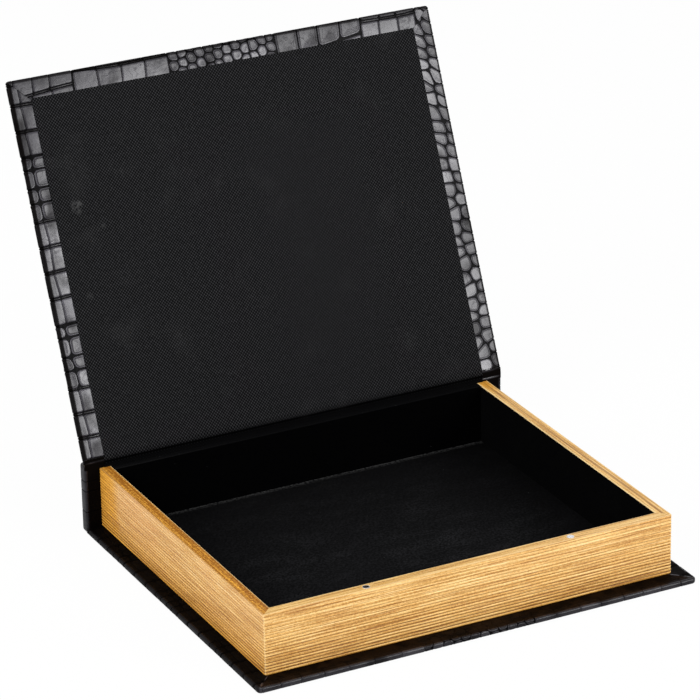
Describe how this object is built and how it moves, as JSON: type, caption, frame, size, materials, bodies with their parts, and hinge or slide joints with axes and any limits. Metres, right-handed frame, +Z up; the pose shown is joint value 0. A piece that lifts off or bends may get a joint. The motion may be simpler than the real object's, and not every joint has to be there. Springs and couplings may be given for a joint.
{
  "type": "book box",
  "caption": "Book-shaped box: a leather-covered case with a hinged lid, round a velvet-lined tray whose walls are gilded and ribbed like page edges.",
  "frame": {"origin": "centre of the covered base's underside", "axes": "+Z up, +Y from the fore-edge to the spine, +X along the fore-edge to the right as seen from in front"},
  "size_m": [0.258, 0.2986, 0.2351],
  "materials": {
    "leather": "black leather embossed with crocodile scales, glossy on the scales",
    "board": "plain grey binder's board",
    "gilt_edge": "fibreboard with reeded, gold-toned page edges",
    "plain_wall": "fibreboard covered in black",
    "velvet": "black short-pile velvet",
    "woven_cloth": "black woven bookcloth with a fine diagonal weave",
    "magnet": "nickel-plated disc"
  },
  "bodies": {
    "base": {"base_board": "board", "spine_board": "board", "base_leather": "leather", "spine_leather": "leather", "hinge_leather": "leather", "tray_floor": "board", "front_wall": "gilt_edge", "left_wall": "gilt_edge", "right_wall": "gilt_edge", "back_wall": "plain_wall", "floor_lining": "velvet", "front_lining": "velvet", "left_lining": "velvet", "right_lining": "velvet", "back_lining": "velvet", "hinge_lining": "woven_cloth", "tray_magnet_left": "magnet", "tray_magnet_right": "magnet"},
    "lid": {"lid_board": "board", "lid_leather": "leather", "lid_card": "board", "lid_lining": "woven_cloth", "lid_magnet_left": "magnet", "lid_magnet_right": "magnet"}
  },
  "joints": [
    {"name": "lid_hinge", "type": "hinge", "parent": "base", "child": "lid", "pos_m": [0, 0.1033, 0.0399], "axis": [1, 0, 0], "range_deg": [0, 113.5], "deforming": ["hinge_leather", "hinge_lining"]}
  ]
}
